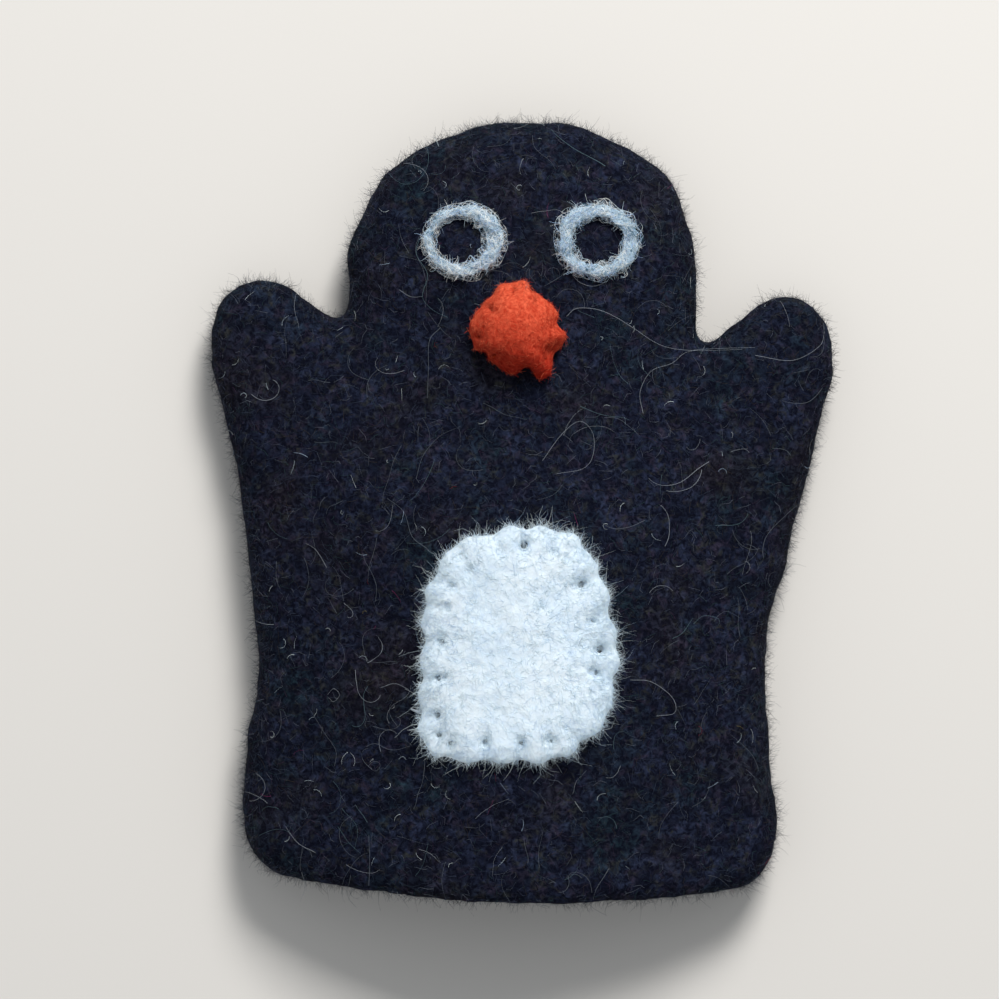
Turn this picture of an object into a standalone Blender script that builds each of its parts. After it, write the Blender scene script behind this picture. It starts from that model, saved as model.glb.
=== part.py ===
"""Felt finger puppet of a penguin, lying on its back.

The body is one hollow felted pouch with a round head and two stubby wings.
A white felt patch is whip-stitched to the belly, a puffed orange beak is
overcast to the face, and two rings of white wool make the eyes.

Design frame: x = 0 is the middle of the head, y runs up from the hem to the
crown, z = 0 is the flat back that the puppet lies on and +Z is the front.
All sizes are in metres.
"""

import math
from collections import namedtuple

import bmesh
import bpy
from mathutils import Vector
from mathutils.geometry import delaunay_2d_cdt

# Outline of the pouch, seen from the front: drops are measured down from the
# crown and heights up from the hem. The hem is bowed and lowest at HEM_LOWEST
# from the middle, and a waist is where a side is narrowest, with one curve over
# it and one under it.
HEIGHT = 0.0800
HEAD_HALF_WIDTH = 0.0179
HEAD_RISE = 0.01735
HEAD_SQUARENESS = 2.2
LEFT_WING_REACH = 0.0323
RIGHT_WING_REACH = 0.0319
LEFT_WING_DROP = 0.0165
RIGHT_WING_DROP = 0.0178
WING_TIP_RADIUS = 0.0049
WING_TIP_SHARE = 0.435
LEFT_NOTCH_DROP = 0.0203
RIGHT_NOTCH_DROP = 0.0232
NOTCH_RADIUS = 0.0013
LEFT_WAIST = 0.0270
RIGHT_WAIST = 0.0250
LEFT_WAIST_HEIGHT = 0.0245
RIGHT_WAIST_HEIGHT = 0.0235
LEFT_CURVE_OVER_WAIST = 0.0800
RIGHT_CURVE_OVER_WAIST = 0.0400
LEFT_CURVE_UNDER_WAIST = 0.0240
RIGHT_CURVE_UNDER_WAIST = 0.0900
LEFT_HEM = 0.0290
RIGHT_HEM = 0.0259
LEFT_HEM_CORNER = 0.0068
RIGHT_HEM_CORNER = 0.0055
HEM_BOW = 0.1500
HEM_LOWEST = 0.0030

# Thickness and loft of the pouch
WALL = 0.0028
EDGE_THICKNESS = 0.0070
EDGE_RADIUS = 0.0033
HEM_RADIUS = 0.0014
HEM_BLEND = 0.0110
BELLY_LOFT = 0.0075
HEAD_LOFT = 0.0040
LOFT_FADE_DROP = 0.0160
LOFT_FULL_DROP = 0.0440
LOFT_POWER = 1.5

# Pocket for the finger
POCKET_SIDE_WALL = 0.0042
POCKET_HEAD_WALL = 0.0050
POCKET_CROWN_WALL = 0.0090
POCKET_END = 0.0080
POCKET_NARROW_DROP = 0.0240
POCKET_WIDE_DROP = 0.0500
LENS_SQUARENESS = 6
LIP_ROUND = 0.0011
MOUTH_RUN_OUT = 0.0040

# White belly patch and the thread that sews it on
PATCH_X = -0.0002
PATCH_HEIGHT = 0.0266
PATCH_TALL = 0.0252
PATCH_THICKNESS = 0.0015
PATCH_STITCHES = 21
PATCH_BITE = 0.0027
PATCH_NOTCH = 0.0006

# Orange beak and its thread
BEAK_X = -0.0006
BEAK_TALL = 0.0101
BEAK_DROP = 0.0215
BEAK_PROUD = 0.0043
BEAK_STITCHES = 8
BEAK_BITE = 0.0013
BEAK_NOTCH = 0.0005

# Thread, and the space that it has in the felt. A stitch's arch over the edge
# has its top and its shoulder at shares of the way out and of the way down.
PATCH_THREAD_RADIUS = 0.00028
BEAK_THREAD_RADIUS = 0.00020
THREAD_CLEARANCE = 0.00025
THREAD_DEPTH = 0.00140
THREAD_OVER = 0.00004
FOOT_OUTSIDE = 0.00045
FOOT_TURN = 0.00070
ARCH_RISES_BY = 0.28
ARCH_FALLS_FROM = 0.74
ARCH_FALL = 0.3
SHOULDER_FALL = 0.6
THREAD_SIDES = 5
WAY_SIDES = 4
POINTS_PER_STITCH = 3

# Rings of wool round the eyes
EYE_DROP = 0.0121
LEFT_EYE_X = -0.0060
RIGHT_EYE_X = 0.0077
LEFT_EYE_WIDTH = 0.0086
RIGHT_EYE_WIDTH = 0.0088
LEFT_EYE_TALL = 0.0079
RIGHT_EYE_TALL = 0.0083
LEFT_PUPIL_SHIFT = -0.0004
RIGHT_PUPIL_SHIFT = -0.0001
PUPIL_WIDTH = 0.0048
PUPIL_TALL = 0.0045
EYE_RING_THICKNESS = 0.0011

# Space that a laid-on piece keeps over the felt below it
LAY_GAP = 0.0003

# Fineness of the facets
OUTLINE_STEP = 0.0026
ARC_STEP = math.radians(17)
EDGE_STEPS = 3
FRONT_GRID = 0.0034
GRID_TO_RIM = 0.55
POCKET_STATIONS = 10
POCKET_SIDES = 24
LIP_STEPS = 3
POCKET_END_STEPS = 3
POCKET_END_TURN = math.radians(78)
QUARTER_TURN = math.radians(90)
SHARP_ANGLE = math.radians(50)
TIGHTEST_MITRE = 0.5
SAME_PLACE = 1e-7
EYE_SEGMENTS = 24
EYE_SIDES = 6

# A wheel is a circle that an outline is led round: side is +1 where the
# outline goes round outside it and -1 where it dips in round it.
Wheel = namedtuple("Wheel", "x y radius side")

# The patch is cut round six wheels and the beak round four, placed from the
# middle of the piece, as shares of how tall the piece is.
PATCH_WHEELS = (
    Wheel(-0.004, 0.333, 0.167, 1),
    Wheel(-0.190, 0.159, 0.222, 1),
    Wheel(-0.290, -0.349, 0.147, 1),
    Wheel(0.079, -0.250, 0.254, 1),
    Wheel(0.210, -0.036, 0.214, 1),
    Wheel(0.143, 0.329, 0.155, 1),
)
BEAK_WHEELS = (
    Wheel(0.000, 0.168, 0.327, 1),
    Wheel(-0.208, -0.079, 0.287, 1),
    Wheel(0.208, -0.337, 0.178, 1),
    Wheel(0.178, -0.030, 0.287, 1),
)

# Height of each laid piece over its underside, as (share of the way from the
# middle to the edge, share of the full height), from the underside round the
# edge and over the top.
PATCH_PROFILE = ((0.50, 0.0), (0.96, 0.0), (1.0, 0.45), (0.95, 0.86), (0.82, 1.0), (0.50, 1.0))
BEAK_PROFILE = ((0.50, 0.0), (0.95, 0.0), (1.0, 0.12), (0.95, 0.25), (0.80, 0.50), (0.58, 0.80), (0.28, 0.96))

# A piece and how it is sewn on: the wheels and the height of its outline, its
# number of stitches, how far in from the edge they come up and how deep they
# draw it in, its profile and thickness, and its thread.
Sewing = namedtuple("Sewing", "wheels tall count bite notch profile height thread_radius")
PATCH_SEWING = Sewing(
    PATCH_WHEELS, PATCH_TALL, PATCH_STITCHES, PATCH_BITE, PATCH_NOTCH,
    PATCH_PROFILE, PATCH_THICKNESS, PATCH_THREAD_RADIUS,
)
BEAK_SEWING = Sewing(
    BEAK_WHEELS, BEAK_TALL, BEAK_STITCHES, BEAK_BITE, BEAK_NOTCH,
    BEAK_PROFILE, BEAK_PROUD, BEAK_THREAD_RADIUS,
)

# Worked out from the sizes above
HEAD_HEIGHT_UP = HEIGHT - HEAD_RISE
BODY_HALF_WIDTH = (LEFT_HEM + RIGHT_HEM) / 2
BODY_MIDDLE = (RIGHT_HEM - LEFT_HEM) / 2


def clear_scene():
    for thing in list(bpy.data.objects):
        bpy.data.objects.remove(thing, do_unlink=True)


def smooth_step(start, end, value):
    share = min(1.0, max(0.0, (value - start) / (end - start)))
    return share * share * (3.0 - 2.0 * share)


def mix(first, second, share):
    return first + (second - first) * share


# Height of the felt

def front_height(x, y):
    """Height of the front of the pouch above the table, inside its rounded edge."""
    across = (x - BODY_MIDDLE) / BODY_HALF_WIDTH
    from_head = math.hypot(x, y - HEAD_HEIGHT_UP) / HEAD_HALF_WIDTH
    body = max(0.0, 1.0 - across ** 2) ** LOFT_POWER
    head = max(0.0, 1.0 - from_head ** 2) ** LOFT_POWER
    fade = smooth_step(LOFT_FADE_DROP, LOFT_FULL_DROP, HEIGHT - y)
    return EDGE_THICKNESS + BELLY_LOFT * body * fade + HEAD_LOFT * head


def edge_radius(y):
    """The rounding of the edge, which gets tighter towards the hem."""
    return mix(HEM_RADIUS, EDGE_RADIUS, smooth_step(0.0, HEM_BLEND, y))


# Outlines

def tangent_normal(first, second):
    """Angle of the outward normal of the straight run between two wheels.

    Wheels that bend opposite ways and are closer than touching meet without a
    straight run, where they are nearest to each other.
    """
    reach = math.hypot(second.x - first.x, second.y - first.y)
    heading = math.atan2(second.y - first.y, second.x - first.x)
    lean = (first.side * first.radius - second.side * second.radius) / reach
    return heading - math.acos(min(1.0, max(-1.0, lean)))


def arc_round(wheel, start, end):
    """Points round a wheel while the outline's normal turns from start to end."""
    turn = (wheel.side * (end - start)) % (2.0 * math.pi)
    steps = max(math.ceil(turn / ARC_STEP), math.ceil(turn * wheel.radius / OUTLINE_STEP), 1)
    points = []
    for step in range(steps + 1):
        angle = start + wheel.side * turn * step / steps
        reach = wheel.side * wheel.radius
        points.append(Vector((wheel.x + reach * math.cos(angle), wheel.y + reach * math.sin(angle))))
    return points


def led_round(wheels, start, end):
    """An outline led round wheels, with its first and last normals given."""
    normals = [start] + [tangent_normal(a, b) for a, b in zip(wheels, wheels[1:])] + [end]
    points = []
    for wheel, turn_from, turn_to in zip(wheels, normals, normals[1:]):
        points += arc_round(wheel, turn_from, turn_to)
    return points


def closed_round(wheels, tall, x, y):
    """A closed outline led round wheels given as shares of tall, from the point x, y."""
    placed = [Wheel(x + w.x * tall, y + w.y * tall, w.radius * tall, w.side) for w in wheels]
    seam = tangent_normal(placed[-1], placed[0])
    return led_round(placed, seam, seam)


def with_filled_runs(points):
    """The closed outline with points added along its straight runs, and no point twice."""
    filled = []
    for here, after in zip(points, points[1:] + points[:1]):
        run = (after - here).length
        if run > SAME_PLACE:
            steps = max(1, round(run / OUTLINE_STEP))
            filled += [here.lerp(after, step / steps) for step in range(steps)]
    return filled


def evenly_spaced(points, count):
    """The closed outline again, as count points the same way apart along it."""
    runs = list(zip(points, points[1:] + points[:1]))
    whole = sum((after - here).length for here, after in runs)
    spaced = []
    passed = 0.0
    for here, after in runs:
        run = (after - here).length
        while len(spaced) < count and len(spaced) * whole / count <= passed + run:
            spaced.append(here.lerp(after, (len(spaced) * whole / count - passed) / max(run, SAME_PLACE)))
        passed += run
    return spaced


def inward_normals(points):
    """Unit vectors that point into an outline that runs anticlockwise."""
    normals = []
    for index, point in enumerate(points):
        along = points[(index + 1) % len(points)] - points[index - 1]
        normals.append(Vector((-along.y, along.x)).normalized())
    return normals


def wing_tip_radius(reach):
    """The rounding of a wing's tip, limited by the width that the wing has."""
    room = reach - HEAD_HALF_WIDTH - 2.0 * NOTCH_RADIUS
    return min(WING_TIP_RADIUS, WING_TIP_SHARE * room)


def hem_rise(x):
    """How far the bowed hem has risen at x from its lowest point."""
    return HEM_BOW - math.sqrt(HEM_BOW ** 2 - (x - HEM_LOWEST) ** 2)


def hem_corner(x, radius):
    """A wheel at x that touches the bow of the hem from inside."""
    room = HEM_BOW - radius
    return Wheel(x, HEM_BOW - math.sqrt(room ** 2 - (x - HEM_LOWEST) ** 2), radius, 1)


def body_outline():
    """The pouch's outline: head, left wing, hem, right wing, anticlockwise."""
    head = []
    head_steps = math.ceil(math.pi * HEAD_HALF_WIDTH / OUTLINE_STEP)
    for step in range(head_steps + 1):
        angle = math.pi * step / head_steps
        wide = math.copysign(abs(math.cos(angle)) ** (2.0 / HEAD_SQUARENESS), math.cos(angle))
        tall = abs(math.sin(angle)) ** (2.0 / HEAD_SQUARENESS)
        head.append(Vector((HEAD_HALF_WIDTH * wide, HEAD_HEIGHT_UP + HEAD_RISE * tall)))
    notch_x = HEAD_HALF_WIDTH + NOTCH_RADIUS
    left_notch = HEIGHT - LEFT_NOTCH_DROP + NOTCH_RADIUS
    right_notch = HEIGHT - RIGHT_NOTCH_DROP + NOTCH_RADIUS
    left_tip = wing_tip_radius(LEFT_WING_REACH)
    right_tip = wing_tip_radius(RIGHT_WING_REACH)
    wheels = [
        Wheel(-notch_x, left_notch, NOTCH_RADIUS, -1),
        Wheel(left_tip - LEFT_WING_REACH, HEIGHT - LEFT_WING_DROP - left_tip, left_tip, 1),
        Wheel(-LEFT_WAIST - LEFT_CURVE_OVER_WAIST, LEFT_WAIST_HEIGHT, LEFT_CURVE_OVER_WAIST, -1),
        Wheel(-LEFT_WAIST - LEFT_CURVE_UNDER_WAIST, LEFT_WAIST_HEIGHT, LEFT_CURVE_UNDER_WAIST, -1),
        hem_corner(LEFT_HEM_CORNER - LEFT_HEM, LEFT_HEM_CORNER),
        Wheel(HEM_LOWEST, HEM_BOW, HEM_BOW, 1),
        hem_corner(RIGHT_HEM - RIGHT_HEM_CORNER, RIGHT_HEM_CORNER),
        Wheel(RIGHT_WAIST + RIGHT_CURVE_UNDER_WAIST, RIGHT_WAIST_HEIGHT, RIGHT_CURVE_UNDER_WAIST, -1),
        Wheel(RIGHT_WAIST + RIGHT_CURVE_OVER_WAIST, RIGHT_WAIST_HEIGHT, RIGHT_CURVE_OVER_WAIST, -1),
        Wheel(RIGHT_WING_REACH - right_tip, HEIGHT - RIGHT_WING_DROP - right_tip, right_tip, 1),
        Wheel(notch_x, right_notch, NOTCH_RADIUS, -1),
    ]
    return with_filled_runs(head + led_round(wheels, math.pi, 2.0 * math.pi))


# Solids

def finished_object(name, bm, material=None):
    """An object from a closed mesh, with its faces turned outwards."""
    bmesh.ops.recalc_face_normals(bm, faces=bm.faces[:])
    mesh = bpy.data.meshes.new(name)
    bm.to_mesh(mesh)
    bm.free()
    mesh.shade_smooth()
    mesh.set_sharp_from_angle(angle=SHARP_ANGLE)
    thing = bpy.data.objects.new(name, mesh)
    bpy.context.collection.objects.link(thing)
    if material:
        mesh.materials.append(material)
    return thing


def skin_between(bm, loops):
    """Faces between loops of points that match one to one; gives the rows of vertices."""
    rows = [[bm.verts.new(point) for point in loop] for loop in loops]
    for low, high in zip(rows, rows[1:]):
        for index in range(len(low)):
            bm.faces.new((low[index - 1], low[index], high[index], high[index - 1]))
    return rows


def close_with_fan(bm, row, peak):
    """Close a row of vertices with a fan of faces up to one point."""
    tip = bm.verts.new(peak)
    for index in range(len(row)):
        bm.faces.new((row[index - 1], row[index], tip))


def cutter_of(thing):
    thing.hide_render = True
    thing.display_type = "WIRE"
    return thing


def cut_away(thing, cutter, name):
    """Take the cutter's space out of a piece."""
    cut = thing.modifiers.new(name, "BOOLEAN")
    cut.operation = "DIFFERENCE"
    cut.solver = "EXACT"
    cut.object = cutter


def tube(name, path, radius, sides, material=None):
    """A round thread along a path, mitred at its bends and closed at both ends."""
    headings = [(after - here).normalized() for here, after in zip(path, path[1:])]
    side = headings[0].orthogonal().normalized()
    loops = []
    for index, point in enumerate(path):
        before = headings[max(0, index - 1)]
        after = headings[min(index, len(headings) - 1)]
        along = (before + after).normalized()
        side = (side - along * side.dot(along)).normalized()
        up = along.cross(side)
        bend = (after - before) / 2.0
        stretch = 1.0 / max(TIGHTEST_MITRE, along.dot(after))
        loop = []
        for step in range(sides):
            angle = 2.0 * math.pi * step / sides
            spoke = radius * (side * math.cos(angle) + up * math.sin(angle))
            if bend.length > SAME_PLACE:
                mitre = bend.normalized()
                spoke += mitre * spoke.dot(mitre) * (stretch - 1.0)
            loop.append(point + spoke)
        loops.append(loop)
    bm = bmesh.new()
    rows = skin_between(bm, loops)
    bm.faces.new(rows[0])
    bm.faces.new(rows[-1])
    return finished_object(name, bm, material)


def inside(point, outline):
    """Whether a point lies inside a closed outline."""
    crossings = False
    for here, after in zip(outline, outline[1:] + outline[:1]):
        if (here.y > point.y) != (after.y > point.y):
            share = (point.y - here.y) / (after.y - here.y)
            if point.x < mix(here.x, after.x, share):
                crossings = not crossings
    return crossings


def nearest_corner(point, outline):
    return min((point - corner).length for corner in outline)


def front_points(rim):
    """Points in staggered rows that carry the front between its edges."""
    points = []
    row_step = FRONT_GRID * math.sqrt(3.0) / 2.0
    rows = math.ceil(HEIGHT / row_step)
    columns = math.ceil(max(LEFT_WING_REACH, RIGHT_WING_REACH) / FRONT_GRID)
    for row in range(rows):
        for column in range(-columns, columns + 1):
            point = Vector(((column + 0.5 * (row % 2)) * FRONT_GRID, row * row_step))
            if inside(point, rim) and nearest_corner(point, rim) > GRID_TO_RIM * FRONT_GRID:
                points.append(point)
    return points


def pouch_solid(outline, material):
    """The pouch before its pocket is cut: flat back, rounded edges, domed front."""
    normals = inward_normals(outline)
    loops = []
    for step in range(EDGE_STEPS + 1):
        angle = QUARTER_TURN * (1.0 - step / EDGE_STEPS)
        loop = []
        for point, normal in zip(outline, normals):
            radius = edge_radius(point.y)
            place = point + normal * radius * (1.0 - math.cos(angle))
            loop.append(Vector((place.x, place.y, radius * (1.0 - math.sin(angle)))))
        loops.append(loop)
    for step in range(EDGE_STEPS + 1):
        angle = QUARTER_TURN * step / EDGE_STEPS
        loop = []
        for point, normal in zip(outline, normals):
            radius = edge_radius(point.y)
            place = point + normal * radius * (1.0 - math.cos(angle))
            top = front_height(place.x, place.y)
            loop.append(Vector((place.x, place.y, top - radius * (1.0 - math.sin(angle)))))
        loops.append(loop)

    bm = bmesh.new()
    rows = skin_between(bm, loops)
    bm.faces.new(rows[0])

    rim = [Vector((vertex.co.x, vertex.co.y)) for vertex in rows[-1]]
    flat = rim + front_points(rim)
    places, _, faces, sources, _, _ = delaunay_2d_cdt(flat, [], [list(range(len(rim)))], 1, SAME_PLACE)
    vertices = []
    for place, source in zip(places, sources):
        if source and source[0] < len(rim):
            vertices.append(rows[-1][source[0]])
        else:
            vertices.append(bm.verts.new((place.x, place.y, front_height(place.x, place.y))))
    for face in faces:
        bm.faces.new([vertices[index] for index in face])
    return finished_object("felt_body", bm, material)


def pocket_section(y, shrink, growth):
    """One section of the pocket: a closed flat lens between floor and ceiling, bowed as the hem is."""
    narrowing = 1.0 - smooth_step(POCKET_NARROW_DROP, POCKET_WIDE_DROP, HEIGHT - y)
    half = mix(BODY_HALF_WIDTH - POCKET_SIDE_WALL, HEAD_HALF_WIDTH - POCKET_HEAD_WALL, narrowing)
    middle = mix(BODY_MIDDLE, 0.0, narrowing)
    loop = []
    for step in range(POCKET_SIDES):
        angle = 2.0 * math.pi * step / POCKET_SIDES
        x = middle + (half * shrink + growth) * math.cos(angle)
        bowed_y = y + hem_rise(x)
        reach = math.sqrt(1.0 - abs(math.cos(angle)) ** LENS_SQUARENESS)
        ceiling = front_height(x, bowed_y) - WALL
        level = (ceiling + WALL) / 2.0
        tall = (ceiling - WALL) / 2.0 * shrink + growth
        loop.append(Vector((x, bowed_y, level + math.copysign(tall * reach, math.sin(angle)))))
    return loop


def pocket_cutter():
    """The space inside the pouch, with a rounded lip and a rounded far end."""
    deepest = HEIGHT - POCKET_CROWN_WALL
    straight = deepest - POCKET_END
    loops = [pocket_section(-MOUTH_RUN_OUT, 1.0, LIP_ROUND)]
    for step in range(LIP_STEPS):
        angle = QUARTER_TURN * (1.0 - step / LIP_STEPS)
        inward = LIP_ROUND * (1.0 - math.sin(angle))
        loops.append(pocket_section(inward, 1.0, LIP_ROUND * (1.0 - math.cos(angle))))
    for step in range(POCKET_STATIONS + 1):
        loops.append(pocket_section(mix(LIP_ROUND, straight, step / POCKET_STATIONS), 1.0, 0.0))
    for step in range(1, POCKET_END_STEPS + 1):
        angle = POCKET_END_TURN * step / POCKET_END_STEPS
        loops.append(pocket_section(straight + POCKET_END * math.sin(angle), math.cos(angle), 0.0))
    bm = bmesh.new()
    rows = skin_between(bm, loops)
    bm.faces.new(rows[0])
    bm.faces.new(rows[-1])
    return cutter_of(finished_object("pocket_space", bm))


def scalloped(outline, stitches, notch):
    """The outline drawn in wherever a stitch pulls on it."""
    normals = inward_normals(outline)
    spacing = len(outline) // stitches
    pulled = []
    for index, (point, normal) in enumerate(zip(outline, normals)):
        pulled.append(point + normal * notch if index % spacing == 0 else point)
    return pulled


def laid_piece(name, outline, x, y, profile, height, material):
    """A piece of felt that follows the front of the pouch, with a rounded edge."""
    middle = Vector((x, y))
    loops = []
    for share, level in profile:
        loop = []
        for point in outline:
            place = middle.lerp(point, share)
            loop.append(Vector((*place, front_height(*place) + LAY_GAP + level * height)))
        loops.append(loop)
    bm = bmesh.new()
    rows = skin_between(bm, loops)
    close_with_fan(bm, rows[0], (x, y, front_height(x, y) + LAY_GAP))
    close_with_fan(bm, rows[-1], (x, y, front_height(x, y) + LAY_GAP + height))
    return finished_object(name, bm, material)


def height_over(profile, share):
    """Share of a piece's full height at a share of the way out to its edge."""
    edge = max(range(len(profile)), key=lambda index: profile[index][0])
    top = profile[edge:] + ((0.0, 1.0),)
    for (outer, low), (inner, high) in zip(top, top[1:]):
        if inner <= share <= outer:
            return mix(high, low, (share - inner) / (outer - inner))
    return top[0][1]


def whip_stitches(outline, x, y, sewing):
    """One thread round a piece: up through it, over its edge, down into the body
    and on inside the felt to the next stitch."""
    middle = Vector((x, y))
    normals = inward_normals(outline)
    spacing = len(outline) // sewing.count

    def at(place, over):
        return Vector((*place, front_height(*place) + over))

    def on_top(place, edge):
        share = (place - middle).length / (edge - middle).length
        return LAY_GAP + sewing.height * height_over(sewing.profile, share)

    feet = []
    for stitch in range(sewing.count):
        edge = outline[stitch * spacing]
        normal = normals[stitch * spacing]
        feet.append((edge, edge + normal * sewing.bite, edge - normal * FOOT_OUTSIDE))

    path = []
    for stitch, (edge, inner, outer) in enumerate(feet):
        last_outer = feet[stitch - 1][2]
        next_inner = feet[(stitch + 1) % len(feet)][1]
        from_last = (last_outer - inner).normalized() * FOOT_TURN
        to_next = (next_inner - outer).normalized() * FOOT_TURN
        over_top = inner.lerp(outer, ARCH_RISES_BY)
        over_edge = inner.lerp(outer, ARCH_FALLS_FROM)
        crest = on_top(inner, edge)
        path += [
            at(inner + from_last, -THREAD_DEPTH),
            at(inner, 0.0),
            at(inner, crest - 2.0 * sewing.thread_radius),
            at(over_top, crest + THREAD_OVER),
            at(over_edge, mix(crest, on_top(over_edge, edge), ARCH_FALL) + THREAD_OVER),
            at(outer, mix(crest, LAY_GAP, SHOULDER_FALL)),
            at(outer, -0.5 * THREAD_DEPTH),
            at(outer + to_next, -THREAD_DEPTH),
        ]
    return path


def eye_ring(name, x, width, tall, pupil_shift, material):
    """A strand of wool laid in a ring, flattened onto the face, thicker on one side."""
    loops = []
    for segment in range(EYE_SEGMENTS):
        angle = 2.0 * math.pi * segment / EYE_SEGMENTS
        loop = []
        for side in range(EYE_SIDES):
            turn = 2.0 * math.pi * side / EYE_SIDES
            outward = (1.0 + math.cos(turn)) / 2.0
            shift = mix(pupil_shift, 0.0, outward)
            place_x = x + shift + mix(PUPIL_WIDTH, width, outward) / 2.0 * math.cos(angle)
            place_y = HEIGHT - EYE_DROP + mix(PUPIL_TALL, tall, outward) / 2.0 * math.sin(angle)
            over = LAY_GAP + EYE_RING_THICKNESS * (1.0 + math.sin(turn)) / 2.0
            loop.append(Vector((place_x, place_y, front_height(place_x, place_y) + over)))
        loops.append(loop)
    bm = bmesh.new()
    skin_between(bm, loops + loops[:1])
    bmesh.ops.remove_doubles(bm, verts=bm.verts[:], dist=SAME_PLACE)
    return finished_object(name, bm, material)


# Materials

def felt(name, colour, roughness):
    """A dull wool finish."""
    material = bpy.data.materials.new(name)
    material.use_nodes = True
    shader = material.node_tree.nodes["Principled BSDF"]
    shader.inputs["Base Color"].default_value = (*colour, 1.0)
    shader.inputs["Roughness"].default_value = roughness
    shader.inputs["Metallic"].default_value = 0.0
    material.diffuse_color = (*colour, 1.0)
    return material


# The puppet

def sewn_piece(name, thread_name, place, sewing, piece_felt, thread_wool, body):
    """A felt piece with its thread, and the thread's way cut in piece and body."""
    smooth_outline = closed_round(sewing.wheels, sewing.tall, *place)
    outline = evenly_spaced(smooth_outline, sewing.count * POINTS_PER_STITCH)
    edge = scalloped(outline, sewing.count, sewing.notch)
    piece = laid_piece(name, edge, *place, sewing.profile, sewing.height, piece_felt)
    path = whip_stitches(outline, *place, sewing)
    thread = tube(thread_name, path, sewing.thread_radius, THREAD_SIDES, thread_wool)
    way = cutter_of(tube(thread_name + "_way", path, sewing.thread_radius + THREAD_CLEARANCE, WAY_SIDES))
    cut_away(piece, way, "thread way")
    cut_away(body, way, thread_name + " way")
    return piece, thread, way


def build_puppet():
    clear_scene()
    black_felt = felt("black felt", (0.010, 0.011, 0.018), 0.95)
    white_felt = felt("white felt", (0.74, 0.79, 0.86), 0.93)
    orange_felt = felt("orange felt", (0.80, 0.105, 0.022), 0.92)
    white_thread = felt("white thread", (0.70, 0.76, 0.84), 0.90)
    orange_thread = felt("orange thread", (0.70, 0.085, 0.018), 0.90)
    pale_wool = felt("pale wool", (0.46, 0.54, 0.64), 0.93)

    outline = body_outline()
    body = pouch_solid(outline, black_felt)
    pocket = pocket_cutter()
    cut_away(body, pocket, "finger pocket")
    patch_set = sewn_piece(
        "belly_patch", "belly_thread", (PATCH_X, PATCH_HEIGHT), PATCH_SEWING, white_felt, white_thread, body)
    beak_set = sewn_piece(
        "beak", "beak_thread", (BEAK_X, HEIGHT - BEAK_DROP), BEAK_SEWING, orange_felt, orange_thread, body)
    eyes = (
        eye_ring("left_eye", LEFT_EYE_X, LEFT_EYE_WIDTH, LEFT_EYE_TALL, LEFT_PUPIL_SHIFT, pale_wool),
        eye_ring("right_eye", RIGHT_EYE_X, RIGHT_EYE_WIDTH, RIGHT_EYE_TALL, RIGHT_PUPIL_SHIFT, pale_wool),
    )

    middle_x = (RIGHT_WING_REACH - LEFT_WING_REACH) / 2.0
    puppet = bpy.data.objects.new("puppet", None)
    bpy.context.collection.objects.link(puppet)
    puppet.location = (-middle_x, -HEIGHT / 2.0, 0.0)
    for thing in (body, pocket, *patch_set, *beak_set, *eyes):
        thing.parent = puppet


build_puppet()
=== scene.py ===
# %% [markdown]
# A felt penguin finger puppet. The real one is wet-felted from loose black wool: one hollow pouch with a round
# head and two stubby wings. A white oval is whip-stitched to its belly, a puffed orange beak is overcast to its
# face, and two strands of pale wool laid in rings make the eyes.
# Felt has no weave. Its look is thousands of fibres, so this lesson builds each piece twice: a soft solid under
# a mottled, bumpy finish, and over it the loose fibres themselves, as very thin tubes. Painting the fibres
# alone would look flat at the edges, where real felt shows a halo against the table.

# %% Load the frame
import math

import bmesh
import bpy
import numpy as np
from mathutils import Matrix, Vector, noise
from mathutils.bvhtree import BVHTree


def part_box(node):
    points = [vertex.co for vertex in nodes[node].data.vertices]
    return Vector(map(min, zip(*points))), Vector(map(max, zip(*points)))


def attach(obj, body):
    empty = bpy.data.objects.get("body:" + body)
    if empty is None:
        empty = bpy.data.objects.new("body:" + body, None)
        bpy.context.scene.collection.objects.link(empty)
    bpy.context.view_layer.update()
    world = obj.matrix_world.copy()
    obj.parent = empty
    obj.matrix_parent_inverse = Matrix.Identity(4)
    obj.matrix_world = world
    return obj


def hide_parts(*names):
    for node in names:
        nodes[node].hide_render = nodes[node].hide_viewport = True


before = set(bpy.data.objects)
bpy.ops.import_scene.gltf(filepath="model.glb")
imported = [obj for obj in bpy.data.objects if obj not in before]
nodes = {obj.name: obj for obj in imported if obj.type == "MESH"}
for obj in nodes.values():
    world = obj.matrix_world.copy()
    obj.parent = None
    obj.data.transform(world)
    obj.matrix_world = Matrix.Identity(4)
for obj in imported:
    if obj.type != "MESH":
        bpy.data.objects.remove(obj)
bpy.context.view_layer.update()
MM = 0.001
print("nodes of the frame:", ", ".join(sorted(nodes)))

# %% [markdown]
# The puppet lies on its back and is seen from straight above, so the camera looks down the Z axis. A long lens
# from far away keeps the raised belly from looking bigger than the hem. The picture is square, and the size of
# one of its pixels on the puppet is what ties the two together: with it, a place in the photograph becomes a
# place on the puppet.

# %% Camera
PHOTO_SIDE = 999
PIXEL = 0.1027 * MM
PUPPET_MIDDLE_PX = (520.55, 511.0)
PHOTO_MIDDLE_PX = (499.5, 499.5)
CAMERA_HEIGHT = 0.80
RIM_HEIGHT = 4.0 * MM


def at_pixel(across, down):
    """The x and y of a place that a pixel of the photograph shows."""
    return ((across - PUPPET_MIDDLE_PX[0]) * PIXEL, (PUPPET_MIDDLE_PX[1] - down) * PIXEL)


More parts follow.
